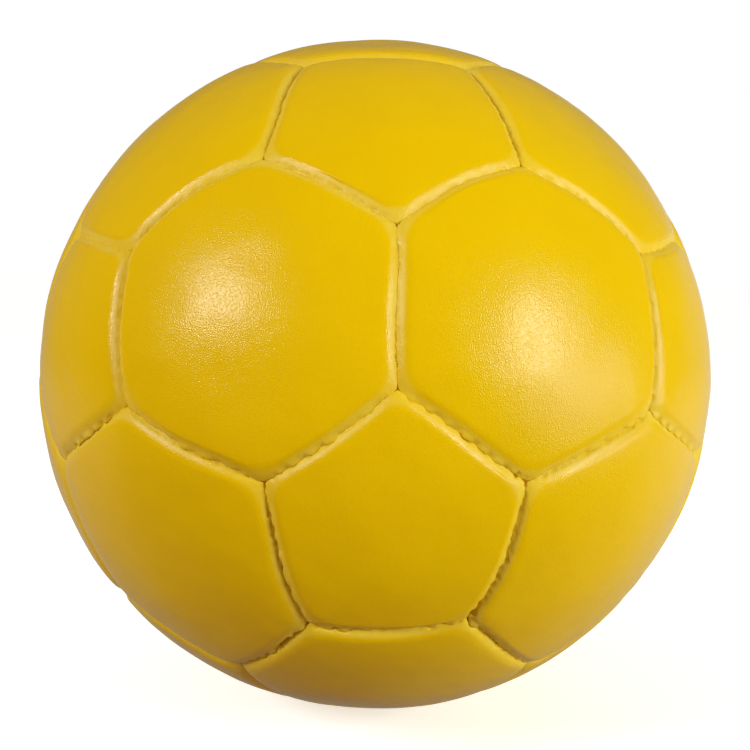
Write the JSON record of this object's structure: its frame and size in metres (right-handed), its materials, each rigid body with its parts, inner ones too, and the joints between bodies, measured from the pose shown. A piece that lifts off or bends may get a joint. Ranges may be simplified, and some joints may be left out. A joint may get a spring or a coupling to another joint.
{
  "type": "handball",
  "caption": "Hand-stitched handball of hexagon and pentagon leather panels over foam, lining and a rubber bladder, with a valve whose core pulls out.",
  "frame": {"origin": "the ball's centre", "axes": "+Z runs out through the middle of a hexagon, -Y is the pictured front, and the plane X = 0 is a mirror plane of the panel pattern that holds the valve's axis, at the upper back"},
  "size_m": [0.1878, 0.1878, 0.1878],
  "materials": {
    "cover_leather": "satin",
    "thread": "satin",
    "foam": "matte",
    "lining": "matte",
    "bladder_rubber": "matte",
    "valve_rubber": "matte",
    "core_rubber": "matte"
  },
  "bodies": {
    "ball": {"valve_panel": "cover_leather", "hexagon_panel_1": "cover_leather", "hexagon_panel_2": "cover_leather", "hexagon_panel_3": "cover_leather", "hexagon_panel_4": "cover_leather", "hexagon_panel_5": "cover_leather", "hexagon_panel_6": "cover_leather", "hexagon_panel_7": "cover_leather", "hexagon_panel_8": "cover_leather", "hexagon_panel_9": "cover_leather", "hexagon_panel_10": "cover_leather", "hexagon_panel_11": "cover_leather", "hexagon_panel_12": "cover_leather", "hexagon_panel_13": "cover_leather", "hexagon_panel_14": "cover_leather", "hexagon_panel_15": "cover_leather", "hexagon_panel_16": "cover_leather", "hexagon_panel_17": "cover_leather", "hexagon_panel_18": "cover_leather", "hexagon_panel_19": "cover_leather", "pentagon_panel_1": "cover_leather", "pentagon_panel_2": "cover_leather", "pentagon_panel_3": "cover_leather", "pentagon_panel_4": "cover_leather", "pentagon_panel_5": "cover_leather", "pentagon_panel_6": "cover_leather", "pentagon_panel_7": "cover_leather", "pentagon_panel_8": "cover_leather", "pentagon_panel_9": "cover_leather", "pentagon_panel_10": "cover_leather", "pentagon_panel_11": "cover_leather", "pentagon_panel_12": "cover_leather", "hexagon_stitching": "thread", "pentagon_stitching_upper": "thread", "pentagon_stitching_lower": "thread", "hexagon_foam": "foam", "pentagon_foam": "foam", "valve_foam": "foam", "hexagon_lining": "lining", "pentagon_lining": "lining", "valve_lining": "lining", "bladder": "bladder_rubber", "bladder_patch": "bladder_rubber", "valve_housing": "valve_rubber"},
    "core": {"valve_core": "core_rubber"}
  },
  "joints": [
    {"name": "valve_core_slide", "type": "slide", "parent": "ball", "child": "core", "axis": [0, 0.6667, 0.7454], "range_m": [0, 0.02]}
  ]
}
